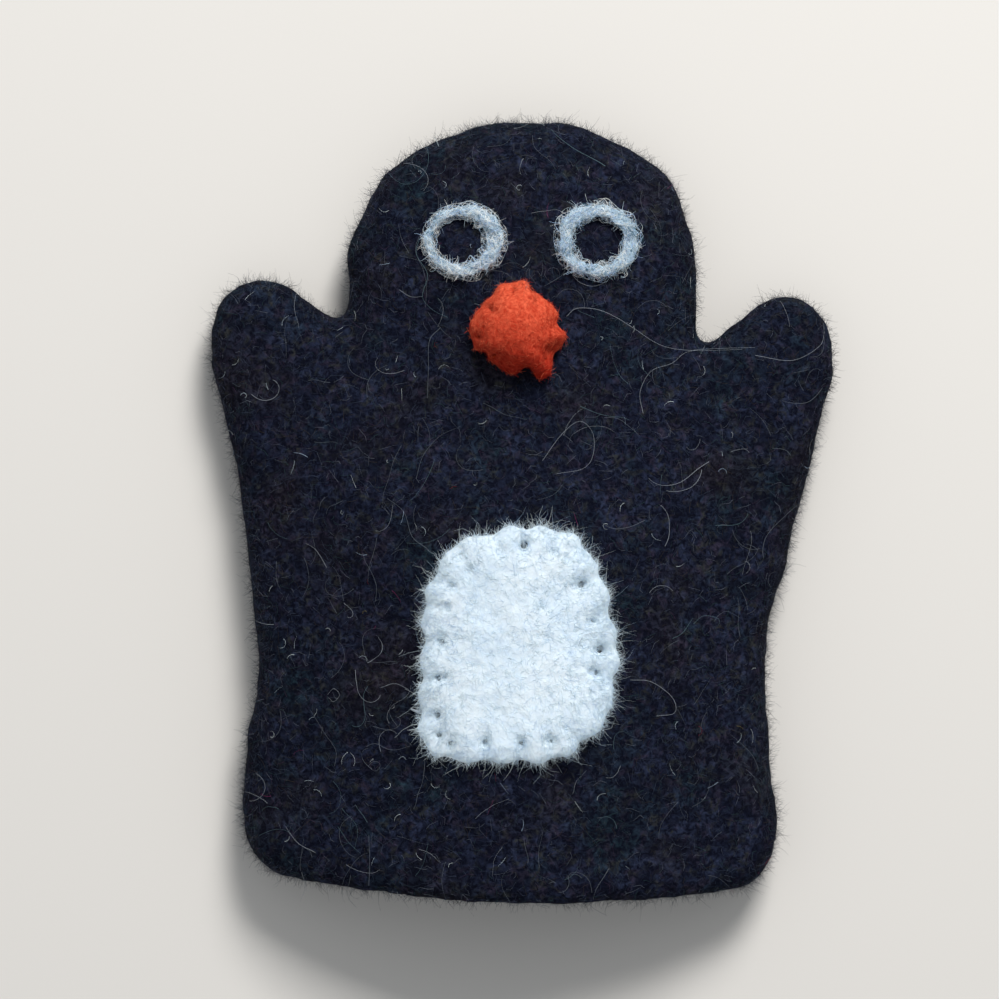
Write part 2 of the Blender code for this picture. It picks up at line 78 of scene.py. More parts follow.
camera_data = bpy.data.cameras.new("camera")
camera_data.sensor_width = 36.0
camera_data.lens = camera_data.sensor_width * (CAMERA_HEIGHT - RIM_HEIGHT) / (PHOTO_SIDE * PIXEL)
camera = bpy.data.objects.new("camera", camera_data)
bpy.context.scene.collection.objects.link(camera)
camera.location = (*at_pixel(*PHOTO_MIDDLE_PX), CAMERA_HEIGHT)
bpy.context.scene.camera = camera
print(f"camera: {camera_data.lens:.0f} mm lens, {CAMERA_HEIGHT:.2f} m up")

# %% [markdown]
# Daylight falls on the puppet from above its head and a little from the right. One large lamp gives the soft
# shadow under the hem and in the corners of the wings, and an even, slightly cool world fills the rest. Lamp
# and world together light a flat surface at a level of about one, so a colour comes out as it is written.

# %% Light
KEY_PLACE = (0.17, 0.52, 0.50)
KEY_SIDE = 0.26
KEY_WATTS = 5.6
KEY_COLOUR = (1.0, 0.98, 0.95)
FILL_STRENGTH = 0.40
FILL_COLOUR = (0.94, 0.97, 1.0, 1.0)

scene = bpy.context.scene
scene.view_settings.view_transform = "Standard"
world = bpy.data.worlds.new("studio")
scene.world = world
world.use_nodes = True
background = world.node_tree.nodes["Background"]
background.inputs["Color"].default_value = FILL_COLOUR
background.inputs["Strength"].default_value = FILL_STRENGTH

key_data = bpy.data.lights.new("window", "AREA")
key_data.size = KEY_SIDE
key_data.energy = KEY_WATTS
key_data.color = KEY_COLOUR
key = bpy.data.objects.new("window", key_data)
scene.collection.objects.link(key)
key.location = KEY_PLACE
key.rotation_euler = (-Vector(KEY_PLACE)).to_track_quat("-Z", "Y").to_euler()
print(f"lamp of {KEY_WATTS} W, fill of {FILL_STRENGTH}")

# %% [markdown]
# Finishes are node trees, and long ones are easier to read as sums. A small class wraps a socket, so that
# `0.5 * tufts + streaks` adds the Math nodes by itself. A second one makes a material: one method adds any
# node, given its type, its settings and what its sockets get.


# %% Sums of sockets
class Value:
    """What a node gives, which can be used in sums."""

    def __init__(self, finish, socket):
        self.finish = finish
        self.socket = socket

    def sum_of(self, operation, first, second):
        return self.finish.node("ShaderNodeMath", {"operation": operation}, {0: first, 1: second})

    def __add__(self, other):
        return self.sum_of("ADD", self, other)

    def __mul__(self, other):
        return self.sum_of("MULTIPLY", self, other)

    __radd__ = __add__
    __rmul__ = __mul__

    def or_larger(self, other):
        return self.sum_of("MAXIMUM", self, other)

    def from_to(self, low, high):
        """0 at low, 1 at high, and held there beyond them."""
        ends = {"Value": self, "From Min": low, "From Max": high}
        return self.finish.node("ShaderNodeMapRange", {"clamp": True}, ends)


class Finish:
    """A material whose patterns are written as sums."""

    def __init__(self, name):
        self.material = bpy.data.materials.new(name)
        self.material.use_nodes = True
        self.tree = self.material.node_tree
        self.shader = self.tree.nodes["Principled BSDF"]

    def node(self, kind, settings, sockets, gives=0):
        """A node of any kind: its settings first, then the values or links of its sockets."""
        made = self.tree.nodes.new(kind)
        for name, value in settings.items():
            setattr(made, name, value)
        for name, value in sockets.items():
            self.feed(made.inputs[name], value)
        return Value(self, made.outputs[gives])

    def feed(self, socket, value):
        if isinstance(value, Value):
            self.tree.links.new(value.socket, socket)
        else:
            socket.default_value = value

    def shows(self, **values):
        """Give the shader its values: Base_Color stands for Base Color."""
        for name, value in values.items():
            self.feed(self.shader.inputs[name.replace("_", " ")], value)
        return self.material

    def place(self):
        return self.node("ShaderNodeTexCoord", {}, {}, "Object")

    def tufts(self, size, detail=3.0, distortion=0.0):
        """Soft clumps of about this size, between 0 and 1."""
        sockets = {"Vector": self.place(), "Scale": 1.0 / size, "Detail": detail, "Distortion": distortion}
        return self.node("ShaderNodeTexNoise", {}, sockets, "Fac")

    def streaks(self, width, length, turns):
        """Short strokes that lie in several directions, like matted fibres."""
        strongest = None
        for turn in turns:
            lying = {"Vector": self.place(), "Rotation": (0.0, 0.0, math.radians(turn))}
            turned = self.node("ShaderNodeMapping", {}, lying)
            drawn_out = {"Vector": turned, "Scale": (1.0 / width, 1.0 / length, 1.0 / width)}
            stroke = self.node("ShaderNodeMapping", {}, drawn_out)
            sockets = {"Vector": stroke, "Scale": 1.0, "Detail": 2.0, "Distortion": 0.6}
            layer = self.node("ShaderNodeTexNoise", {}, sockets, "Fac")
            strongest = layer if strongest is None else strongest.or_larger(layer)
        return strongest

    def blend(self, first, second, share):
        """A colour between two colours."""
        sides = {"Factor": share}
        for socket, colour in ((6, first), (7, second)):
            sides[socket] = (*colour, 1.0) if isinstance(colour, tuple) else colour
        return self.node("ShaderNodeMix", {"data_type": "RGBA"}, sides, 2)

    def raised(self, height, depth):
        """Bumps of this depth."""
        return self.node("ShaderNodeBump", {}, {"Height": height, "Distance": depth, "Strength": 1.0}, "Normal")


print("sums of sockets are ready")

# %% [markdown]
# The table is left out. In its place is a plain pale floor, large enough for every view of the puppet. It is
# one square face in one colour, because it isn't part of the object and nothing on it should draw the eye.

# %% Floor
FLOOR_HALF = 0.9
FLOOR_COLOUR = (0.76, 0.74, 0.71)

floor_mesh = bpy.data.meshes.new("floor")
bm = bmesh.new()
bmesh.ops.create_grid(bm, x_segments=1, y_segments=1, size=FLOOR_HALF)
bm.to_mesh(floor_mesh)
bm.free()
floor = bpy.data.objects.new("floor", floor_mesh)
scene.collection.objects.link(floor)
paper = Finish("pale floor")
floor_mesh.materials.append(paper.shows(Base_Color=(*FLOOR_COLOUR, 1.0), Roughness=0.9))
print("floor is", 2 * FLOOR_HALF, "m wide")

# %% [markdown]
# Black felt is never plain black. Close up it is a mat of navy, brown and grey-blue fibres that let little
# light out. Four layers give that: clumps of several millimetres that drift between navy and brown, spots of a
# millimetre in plum and olive, fine tufts that darken the gaps, and strokes a tenth of a millimetre wide that
# stand for the fibres lying flat. All read Object coordinates, so the pattern stays on the wool when the view
# changes. Wool hardly shines, so the finish is rough all over, with one low number for its shine.

# %% Felt finishes
STROKE_TURNS = (12, 55, 98, 141)
STEEP_TURNS = (33, 78, 120, 165)


def black_wool_finish():
    felt = Finish("black felt")
    warm = felt.tufts(9.0 * MM, 1.0).from_to(0.53, 0.76)
    green = felt.tufts(6.0 * MM, 1.0, 0.4).from_to(0.48, 0.70)
    plum = felt.tufts(1.4 * MM, 2.0, 0.5).from_to(0.50, 0.64)
    olive = felt.tufts(1.1 * MM, 2.0, 0.7).from_to(0.52, 0.66)
    gaps = felt.tufts(0.62 * MM, 4.0, 0.8)
    fine = felt.tufts(0.30 * MM, 2.0)
    fibres = felt.streaks(0.16 * MM, 1.5 * MM, STROKE_TURNS).from_to(0.60, 0.80)
    ground = felt.blend((0.0018, 0.0027, 0.0088), (0.0036, 0.0032, 0.0072), warm)
    lit = felt.blend((0.0315, 0.0420, 0.0870), (0.0235, 0.0490, 0.0700), green)
    lit = felt.blend(lit, (0.0430, 0.0390, 0.0520), warm)
    lit = felt.blend(lit, (0.0470, 0.0370, 0.0640), plum * 0.8)
    lit = felt.blend(lit, (0.0430, 0.0460, 0.0370), olive * 0.8)
    clumps = felt.tufts(2.2 * MM, 3.0, 0.6).from_to(0.38, 0.66)
    raised = fibres * 0.36 + gaps.from_to(0.42, 0.70) * 0.62 + fine.from_to(0.46, 0.75) * 0.20
    share = raised * (clumps * 0.75 + 0.42)
    bumps = felt.raised(gaps * 0.6 + fibres * 0.30 + fine * 0.20, 0.22 * MM)
    colour = felt.blend(ground, lit, share)
    return felt.shows(Base_Color=colour, Normal=bumps, Roughness=0.95, Specular_IOR_Level=0.06)


def white_wool_finish():
    felt = Finish("white felt")
    drift = felt.tufts(5.0 * MM, 2.0).from_to(0.35, 0.65)
    gaps = felt.tufts(0.8 * MM, 4.0, 0.6)
    fibres = felt.streaks(0.13 * MM, 1.6 * MM, STEEP_TURNS).from_to(0.55, 0.78)
    shade = felt.blend((0.66, 0.80, 0.96), (0.73, 0.84, 0.95), drift)
    bright = felt.blend((0.77, 0.89, 0.97), (0.82, 0.91, 0.97), drift)
    share = gaps.from_to(0.30, 0.62) * 0.75 + fibres * 0.35
    bumps = felt.raised(gaps * 0.7 + fibres * 0.3, 0.08 * MM)
    colour = felt.blend(shade, bright, share)
    return felt.shows(Base_Color=colour, Roughness=0.93, Normal=bumps, Specular_IOR_Level=0.15)


def orange_wool_finish():
    felt = Finish("orange felt")
    low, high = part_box("beak")
    # Painted light and shade: the colour runs from dark red at the bottom of the beak to bright orange at its
    # top, where the light falls from above.
    painted_light_by_height = felt.node("ShaderNodeSeparateXYZ", {}, {"Vector": felt.place()}, "Y").from_to(low.y, high.y)
    gaps = felt.tufts(0.5 * MM, 4.0, 0.5)
    fibres = felt.streaks(0.10 * MM, 1.0 * MM, STROKE_TURNS).from_to(0.55, 0.80)
    shade = felt.blend((0.25, 0.008, 0.003), (0.52, 0.040, 0.014), painted_light_by_height)
    bright = felt.blend((0.52, 0.028, 0.013), (0.92, 0.190, 0.092), painted_light_by_height)
    share = gaps.from_to(0.30, 0.68) * 0.7 + fibres * 0.35
    bumps = felt.raised(gaps * 0.7 + fibres * 0.3, 0.12 * MM)
    colour = felt.blend(shade, bright, share)
    return felt.shows(Base_Color=colour, Roughness=0.92, Normal=bumps, Specular_IOR_Level=0.10)


def pale_wool_finish():
    wool = Finish("pale wool")
    gaps = wool.tufts(0.35 * MM, 3.0, 0.5)
    fibres = wool.streaks(0.09 * MM, 0.9 * MM, STEEP_TURNS).from_to(0.52, 0.78)
    share = gaps.from_to(0.36, 0.66) * 0.6 + fibres * 0.5
    colour = wool.blend((0.12, 0.21, 0.30), (0.68, 0.86, 1.0), share)
    bumps = wool.raised(gaps * 0.6 + fibres * 0.4, 0.16 * MM)
    return wool.shows(Base_Color=colour, Roughness=0.93, Normal=bumps, Specular_IOR_Level=0.15)


def thread_finish(name, shade, bright, ply):
    """Twisted sewing thread, darker in uneven spots as small as its plies."""
    thread = Finish(name)
    plies = thread.tufts(ply, 2.0, 0.4)
    colour = thread.blend(shade, bright, plies.from_to(0.35, 0.65))
    bumps = thread.raised(plies, 0.1 * MM)
    return thread.shows(Base_Color=colour, Roughness=0.9, Normal=bumps, Specular_IOR_Level=0.15)


BLACK_FELT = black_wool_finish()
WHITE_FELT = white_wool_finish()
ORANGE_FELT = orange_wool_finish()
PALE_WOOL = pale_wool_finish()
WHITE_THREAD = thread_finish("white thread", (0.52, 0.60, 0.70), (0.80, 0.86, 0.92), 0.3 * MM)
ORANGE_THREAD = thread_finish("orange thread", (0.45, 0.04, 0.01), (0.80, 0.11, 0.03), 0.2 * MM)
print("felt finishes:", len(bpy.data.materials))

# %% [markdown]
# A single fibre is thinner than a pixel, so no pattern would show along it. What shows is that no two are the
# same shade, so each kind of wool is a small set of shades, and every fibre draws one of them.

# %% Shades of fibre
BLACK_SHADES = {
    "black": (0.005, 0.006, 0.011),
    "navy": (0.020, 0.026, 0.049),
    "slate": (0.046, 0.060, 0.096),
    "brown": (0.046, 0.037, 0.031),
    "ash": (0.128, 0.146, 0.188),
    "teal": (0.030, 0.062, 0.070),
    "plum": (0.050, 0.030, 0.062),
}
BLACK_MIX = (0.24, 0.30, 0.20, 0.08, 0.07, 0.07, 0.04)
BROW_MIX = (0.10, 0.10, 0.15, 0.25, 0.30, 0.0, 0.10)
WHITE_SHADES = {"white": (0.82, 0.93, 0.97), "cool": (0.72, 0.87, 0.97), "shadow": (0.50, 0.65, 0.85)}
WHITE_MIX = (0.55, 0.40, 0.05)
FRINGE_MIX = (0.48, 0.38, 0.14)
ORANGE_SHADES = {"orange": (0.92, 0.185, 0.088), "red": (0.60, 0.042, 0.016), "deep red": (0.32, 0.012, 0.006)}
# Painted light and shade: fibres at the top of the beak are mostly bright orange, at its bottom mostly deep red.
TOP_LIT_MIX = (0.66, 0.30, 0.04)
BOTTOM_SHADED_MIX = (0.08, 0.42, 0.50)
RING_SHADES = {
    "pale": (0.68, 0.86, 1.0),
    "grey": (0.44, 0.62, 0.90),
    "deep": (0.06, 0.17, 0.24),
    "bright": (0.97, 1.0, 1.0),
}
RING_MIX = (0.36, 0.16, 0.05, 0.43)
LOOSE_SHADES = {"silver": (0.36, 0.40, 0.45), "dim": (0.13, 0.15, 0.18), "sea": (0.11, 0.18, 0.21)}
LOOSE_MIX = (0.30, 0.55, 0.15)
STRAY_SHADES = {"scarlet": (0.32, 0.03, 0.03), "magenta": (0.22, 0.03, 0.12), "straw": (0.30, 0.24, 0.09)}
STRAY_MIX = (0.4, 0.35, 0.25)


def fibre_finishes(shades):
    """One plain dull material for each shade."""
    made = []
    for name, colour in shades.items():
        finish = Finish("fibre " + name)
        made.append(finish.shows(Base_Color=(*colour, 1.0), Roughness=0.85, Specular_IOR_Level=0.08))
    return made


BLACK_FIBRES = fibre_finishes(BLACK_SHADES)
WHITE_FIBRES = fibre_finishes(WHITE_SHADES)
ORANGE_FIBRES = fibre_finishes(ORANGE_SHADES)
RING_FIBRES = fibre_finishes(RING_SHADES)
LOOSE_FIBRES = fibre_finishes(LOOSE_SHADES)
STRAY_FIBRES = fibre_finishes(STRAY_SHADES)
print("fibre shades:", sum(material.name.startswith("fibre") for material in bpy.data.materials))

# %% [markdown]
# The frame holds each piece as a faceted solid of the right size. Felt has no facets, so its copy is joined up,
# rebuilt as an even net of small squares and smoothed. After that its edge can be pulled a little way out or in,
# and it can be made lumpy: each point moves along its normal by a smooth noise. Sculpting would do the same by
# hand, but noise gives the same lumps each time.

# %% Soft copies of the frame's solids
SAME_POINT = 0.001 * MM


def soft_copy(name, node, voxel, smoothings):
    """A smooth, evenly netted copy of a node, with its place in its mesh."""
    bm = bmesh.new()
    bm.from_mesh(nodes[node].data)
    bmesh.ops.remove_doubles(bm, verts=bm.verts[:], dist=SAME_POINT)
    joined = bpy.data.meshes.new(name + "_joined")
    bm.to_mesh(joined)
    bm.free()
    piece = bpy.data.objects.new(name, joined)
    scene.collection.objects.link(piece)
    net = piece.modifiers.new("net", "REMESH")
    net.mode = "VOXEL"
    net.voxel_size = voxel
    evaluated = piece.evaluated_get(bpy.context.evaluated_depsgraph_get())
    piece.data = bpy.data.meshes.new_from_object(evaluated)
    piece.modifiers.clear()
    bpy.data.meshes.remove(joined)
    bm = bmesh.new()
    bm.from_mesh(piece.data)
    for _ in range(smoothings):
        smooth_once(bm, bm.verts[:])
    bm.to_mesh(piece.data)
    bm.free()
    piece.data.shade_smooth()
    return piece


def smooth_once(bm, verts):
    bmesh.ops.smooth_vert(bm, verts=verts, factor=0.5, use_axis_x=True, use_axis_y=True, use_axis_z=True)


def points_of(mesh, what="vertices", name="co"):
    """The points of a mesh as an array, or their normals."""
    values = np.empty(len(mesh.vertices) * 3, np.float32)
    getattr(mesh, what).foreach_get(name, values)
    return values.reshape(-1, 3).astype(float)


def pulled(piece, moves, reach):
    """Draw the felt from one pixel to another, with all that lies near."""
    points = points_of(piece.data)
    pulls = np.zeros((len(points), 2))
    for start, end in moves:
        start, end = np.array(at_pixel(*start)), np.array(at_pixel(*end))
        apart = np.linalg.norm(points[:, :2] - start, axis=1)
        pulls += (end - start) * np.exp(-((apart / reach) ** 2))[:, None]
    points[:, :2] += pulls
    piece.data.vertices.foreach_set("co", points.ravel())
    piece.data.update()


def lumpy(place, lumps):
    """How far felt stands out at a place, from lumps given as (size, height)."""
    return sum(height * noise.noise(place / size + Vector((size, 0.0, height)) / MM) for size, height in lumps)


def finish_piece(piece, finish=None, replaced=()):
    """Give a piece its material and its place in the frame, and count its triangles."""
    if finish:
        piece.data.materials.append(finish)
    if replaced:
        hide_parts(*replaced)
    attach(piece, "root")
    faces = sum(len(face.vertices) - 2 for face in piece.data.polygons)
    print(f"{piece.name}: {faces} triangles")
    return faces


print("points are joined within", SAME_POINT / MM, "mm")

# %% [markdown]
# The pouch is one piece of felt, so it is one mesh: the flat back, the rounded edges, the raised belly and the
# pocket behind the open hem. Hand felting leaves no edge quite even, so the outline is drawn out or in by half a
# millimetre where the photograph shows it. It gets lumps of two sizes. Nothing may sink into the table, so
# points near it are held just above.

# %% Pouch
POUCH_VOXEL = 0.64 * MM
POUCH_SMOOTHINGS = 7
POUCH_LUMPS = ((6.0 * MM, 0.30 * MM), (1.7 * MM, 0.16 * MM))
OFF_TABLE = 0.03 * MM
HIGH_ABOVE = 0.1
SIDE_REACH = 7.0 * MM
SIDE_PULLS_PX = (((800, 475), (808, 475)), ((251, 560), (245, 560)))
EDGE_REACH = 3.0 * MM
EDGE_PULLS_PX = (
    ((382, 186), (377, 184)), ((353, 252), (350, 252)), ((560, 127), (561, 123)), ((643, 166), (646, 163)),
    ((665, 188), (671, 185)), ((690, 250), (693, 248)), ((722, 341), (720, 335)), ((826, 385), (831, 385)),
    ((779, 566), (786, 566)), ((770, 815), (775, 815)), ((287, 296), (289, 289)), ((207, 325), (211, 327)),
    ((213, 370), (208, 370)), ((248, 735), (243, 735)),
)

pouch = soft_copy("felt_pouch", "felt_body", POUCH_VOXEL, POUCH_SMOOTHINGS)
pulled(pouch, SIDE_PULLS_PX, SIDE_REACH)
pulled(pouch, EDGE_PULLS_PX, EDGE_REACH)
bm = bmesh.new()
bm.from_mesh(pouch.data)
bm.normal_update()
moves = [vertex.normal * lumpy(vertex.co, POUCH_LUMPS) for vertex in bm.verts]
for vertex, move in zip(bm.verts, moves):
    vertex.co += move
    vertex.co.z = max(OFF_TABLE, vertex.co.z)
bm.normal_update()
pouch_tree = BVHTree.FromBMesh(bm)
bm.to_mesh(pouch.data)
bm.free()
triangles = finish_piece(pouch, BLACK_FELT, ["felt_body"])


def top_of(tree, x, y):
    """Height of a piece under a place, or the table's beside it."""
    hit, _, _, _ = tree.ray_cast(Vector((x, y, HIGH_ABOVE)), Vector((0.0, 0.0, -1.0)))
    return hit.z if hit else 0.0


def felt_top(x, y):
    return top_of(pouch_tree, x, y)


# %% [markdown]
# A fibre is a line with a thickness. Its line starts in the felt, runs along it in a slow bend and may lift off
# at its end. All lines of a piece are worked out at once as arrays, because one by one they would take minutes.
# The places where they start come from the faces of the piece below: a large face draws more than a small one.

# %% Places on a piece
ROOT_DEPTH = 0.05 * MM


class Skin:
    """The faces of a piece, as arrays from which fibres draw their places."""

    def __init__(self, piece):
        mesh = piece.data
        mesh.calc_loop_triangles()
        corners = np.empty(len(mesh.loop_triangles) * 3, np.int32)
        mesh.loop_triangles.foreach_get("vertices", corners)
        points = points_of(mesh)
        self.corners = [points[corners[side::3]] for side in range(3)]
        first, second, third = self.corners
        self.middles = (first + second + third) / 3.0
        across = np.cross(second - first, third - first)
        self.areas = np.linalg.norm(across, axis=1) / 2.0
        self.normals = across / np.maximum(2.0 * self.areas, 1e-18)[:, None]

    def draw(self, count, random, share):
        """Random places on the faces, with their normals. Share says how much each face takes part."""
        weight = self.areas * share
        picked = random.choice(len(weight), count, p=weight / weight.sum())
        u, v = random.random((2, count, 1))
        over = u + v > 1.0
        u, v = np.where(over, 1.0 - u, u), np.where(over, 1.0 - v, v)
        first, second, third = (corner[picked] for corner in self.corners)
        return first + (second - first) * u + (third - first) * v, self.normals[picked]


def unit(vectors):
    return vectors / np.maximum(np.linalg.norm(vectors, axis=-1, keepdims=True), 1e-12)


def lying(places, normals, random, length, lift, curl, points, heading=None):
    """Lines that leave the felt at places and bend over it. Lift is how far the tips rise at most."""
    count = len(places)
    if heading is None:
        heading = random.normal(size=(count, 3))
    heading = unit(heading - normals * (heading * normals).sum(1, keepdims=True))
    side = np.cross(normals, heading)
    lengths = length * random.uniform(0.45, 1.55, count)
    turns = curl * random.normal(size=count)
    rises = lift * random.uniform(-0.2, 1.0, count)
    along = np.linspace(0.0, 1.0, points)
    angle = turns[:, None] * ((along[1:] + along[:-1]) / 2.0 - 0.5)
    steps = heading[:, None] * np.cos(angle)[..., None] + side[:, None] * np.sin(angle)[..., None]
    steps *= (lengths / (points - 1))[:, None, None]
    lines = np.concatenate([np.zeros((count, 1, 3)), np.cumsum(steps, axis=1)], axis=1)
    height = rises[:, None] * along ** 1.5 - ROOT_DEPTH * (1.0 - along)
    lines += places[:, None] + normals[:, None] * height[..., None]
    lines[..., 2] = np.maximum(lines[..., 2], OFF_TABLE)
    return lines


print("fibres start", ROOT_DEPTH / MM, "mm deep in the felt")

# %% [markdown]
# A curve object turns lines into tubes: it sweeps a triangle along each line, narrows it to its tip and closes
# its ends. Three sides are enough at this thickness, and they keep thousands of fibres light. Hair systems
# would be easier to comb, but they don't leave a mesh.


# %% Tubes along lines
def triangle_section():
    """A triangle to sweep along lines, which is taken away again afterwards."""
    outline = bpy.data.curves.new("fibre section", "CURVE")
    outline.dimensions = "2D"
    spline = outline.splines.new("POLY")
    spline.points.add(2)
    for index, point in enumerate(spline.points):
        angle = 2.0 * math.pi * index / 3
        point.co = (math.cos(angle), math.sin(angle), 0.0, 1.0)
    spline.use_cyclic_u = True
    section = bpy.data.objects.new("fibre section", outline)
    scene.collection.objects.link(section)
    return section


def spun(name, lines, thickness, finishes, mix, random, tip=0.3):
    """One piece made of a thin tube along each line, in a shade drawn from the mix, or from its line's own."""
    section = triangle_section()
    curve = bpy.data.curves.new(name, "CURVE")
    curve.dimensions = "3D"
    curve.bevel_mode = "OBJECT"
    curve.bevel_object = section
    curve.use_fill_caps = True
    for finish in finishes:
        curve.materials.append(finish)
    mixes = np.broadcast_to(mix, (len(lines), len(finishes)))
    shades = (np.cumsum(mixes, axis=1) < random.random((len(lines), 1))).sum(axis=1).clip(0, len(finishes) - 1)
    widths = thickness / 2.0 * random.uniform(0.7, 1.3, len(lines))
    for line, shade, width in zip(lines, shades, widths):
        spline = curve.splines.new("POLY")
        spline.points.add(len(line) - 1)
        spline.points.foreach_set("co", np.column_stack([line, np.ones(len(line))]).ravel())
        spline.points.foreach_set("radius", width * np.linspace(1.0, tip, len(line)))
        spline.material_index = int(shade)
    drawn = bpy.data.objects.new(name, curve)
    scene.collection.objects.link(drawn)
    evaluated = drawn.evaluated_get(bpy.context.evaluated_depsgraph_get())
    mesh = bpy.data.meshes.new_from_object(evaluated)
    for helper in (drawn, section):
        bpy.data.objects.remove(helper)
    mesh.shade_smooth()
    piece = bpy.data.objects.new(name, mesh)
    scene.collection.objects.link(piece)
    return piece


print("tubes have 3 sides")

# %% [markdown]
# Nobody sees fibres in the pocket or under the patch, so none start there. A face takes part only where a ray
# from it meets no other felt, and the oval that the patch covers is left out. A fibre that bends into the felt
# is lifted out of it, apart from its root.

# %% Where fibres may start
SIGHT = 15.0 * MM
CLEAR_OF_FELT = 0.2 * MM
JUST_ABOVE = 0.02 * MM
MOST_LIFT = 0.60 * MM
UNDER_PATCH = 1.5 * MM
UPPER_HALF_FROM = 6.0 * MM


def in_the_open(skin, tree):
    """1 for each face with open air before it, and 0 inside the pocket."""
    shown = np.ones(len(skin.areas))
    starts = skin.middles + skin.normals * CLEAR_OF_FELT
    for index, (start, normal) in enumerate(zip(starts, skin.normals)):
        hit, _, _, _ = tree.ray_cast(Vector(start), Vector(normal), SIGHT)
        shown[index] = hit is None
    return shown


def beside(places, low, high, margin):
    """1 for places outside the oval that fills a box, seen from above."""
    middle, half = (low + high) / 2.0, (high - low) / 2.0 - margin
    return np.hypot(*((places - middle)[:, :2] / half[:2]).T) > 1.0


def settled(lines, *trees, most=MOST_LIFT):
    """The lines again, lifted out of the felt just over them all along but at their roots."""
    for line in lines:
        for point in line[1:]:
            lift = JUST_ABOVE + max(top_of(tree, point[0], point[1]) for tree in trees) - point[2]
            point[2] += lift if 0.0 < lift < most else 0.0
    return lines


pouch_skin = Skin(pouch)
patch_low, patch_high = (np.array(corner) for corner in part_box("belly_patch"))
open_air = in_the_open(pouch_skin, pouch_tree)
facing_up = pouch_skin.normals[:, 2] > 0.15
upper_half = pouch_skin.middles[:, 1] > UPPER_HALF_FROM
front_share = open_air * facing_up * beside(pouch_skin.middles, patch_low, patch_high, UNDER_PATCH)
back_share = open_air * ~facing_up
rim_share = open_air * (np.abs(pouch_skin.normals[:, 2]) < 0.75)
print(f"{open_air.mean():.0%} of the pouch's faces are in the open")

# %% [markdown]
# The black fuzz is short fibres that lie on the pouch in every direction. All round the rim a haze of still
# shorter ones stands up and blurs the outline, and a few long ones curl out of it as a dark halo against the
# table. Upper part, lower part, back, haze and halo are pieces of their own, so that no piece grows too heavy,
# and the front gets more fibres than the back.

# %% Black fuzz
FUZZ_THICKNESS = 0.040 * MM
EDGE_THICKNESS = 0.034 * MM
UPPER_FIBRES = 7000
LOWER_FIBRES = 8000
BACK_FIBRES = 3500
HAZE_FIBRES = 12500
HALO_FIBRES = 1500

random = np.random.default_rng(11)
for name, count, share in (("upper", UPPER_FIBRES, front_share * upper_half),
                           ("lower", LOWER_FIBRES, front_share * ~upper_half), ("back", BACK_FIBRES, back_share)):
    places, normals = pouch_skin.draw(count, random, share)
    lines = lying(places, normals, random, 1.40 * MM, 0.25 * MM, 1.5, 3)
    if name != "back":
        settled(lines, pouch_tree)
    fuzz = spun("black_fuzz_" + name, lines, FUZZ_THICKNESS, BLACK_FIBRES, BLACK_MIX, random)
    triangles += finish_piece(fuzz)

for name, count, length, lift, curl, points in (("haze", HAZE_FIBRES, 0.60 * MM, 1.05 * MM, 1.2, 3),
                                                ("halo", HALO_FIBRES, 1.90 * MM, 1.60 * MM, 3.2, 6)):
    places, normals = pouch_skin.draw(count, random, rim_share)
    lines = lying(places, normals, random, length, lift, curl, points)
    edge = spun("black_" + name, lines, EDGE_THICKNESS, BLACK_FIBRES, BLACK_MIX, random)
    triangles += finish_piece(edge)

# %% [markdown]
# The thread round the patch comes up through the felt, crosses the edge and goes down again. Each stitch draws
# the soft felt into a dimple and leaves a puff on either side. The frame has the thread as a real solid, so
# the stitches are read from it: its arches are the stretches high above the felt, and seen from the middle
# of the patch each arch lies in a direction of its own.

# %% Stitches
PATCH_ARCH_HEIGHT = 0.9 * MM
BEAK_ARCH_HEIGHT = 1.2 * MM
PATCH_ARCHES_APART = 0.045
BEAK_ARCHES_APART = 0.20


def bearing(point, middle):
    return math.atan2(point.y - middle.y, point.x - middle.x)


def stitches_of(node, middle, above, apart):
    """The inner and outer end of each arch of a thread, in order round the middle."""
    points = [vertex.co for vertex in nodes[node].data.vertices]
    high = [point for point in points if point.z > felt_top(point.x, point.y) + above]
    high.sort(key=lambda point: bearing(point, middle))
    arches = [[high[0]]]
    for before, point in zip(high, high[1:]):
        if bearing(point, middle) - bearing(before, middle) > apart:
            arches.append([])
        arches[-1].append(point)
    ends = []
    for arch in arches:
        arch.sort(key=lambda point: (point - middle).xy.length)
        inner = sum((point.xy for point in arch[:3]), Vector((0.0, 0.0))) / 3.0
        outer = sum((point.xy for point in arch[-3:]), Vector((0.0, 0.0))) / 3.0
        ends.append((np.array(inner), np.array(outer)))
    return ends


def middle_of(node):
    low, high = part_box(node)
    return (low + high) / 2.0


patch_stitches = stitches_of("belly_thread", middle_of("belly_thread"), PATCH_ARCH_HEIGHT, PATCH_ARCHES_APART)
beak_stitches = stitches_of("beak_thread", middle_of("beak_thread"), BEAK_ARCH_HEIGHT, BEAK_ARCHES_APART)
print("stitches round the patch and the beak:", len(patch_stitches), len(beak_stitches))

# %% [markdown]
# Pulling the felt in is one sum for every point of the piece: how far it is from the nearest stitch. Close to
# it the felt goes down into a crease, at its inner end it goes down further, and between two stitches it swells
# a little. Nobody pulls each stitch equally tight, so each has a pull of its own, and a few hardly show. Only
# the top takes part, so the underside still lies on the belly.


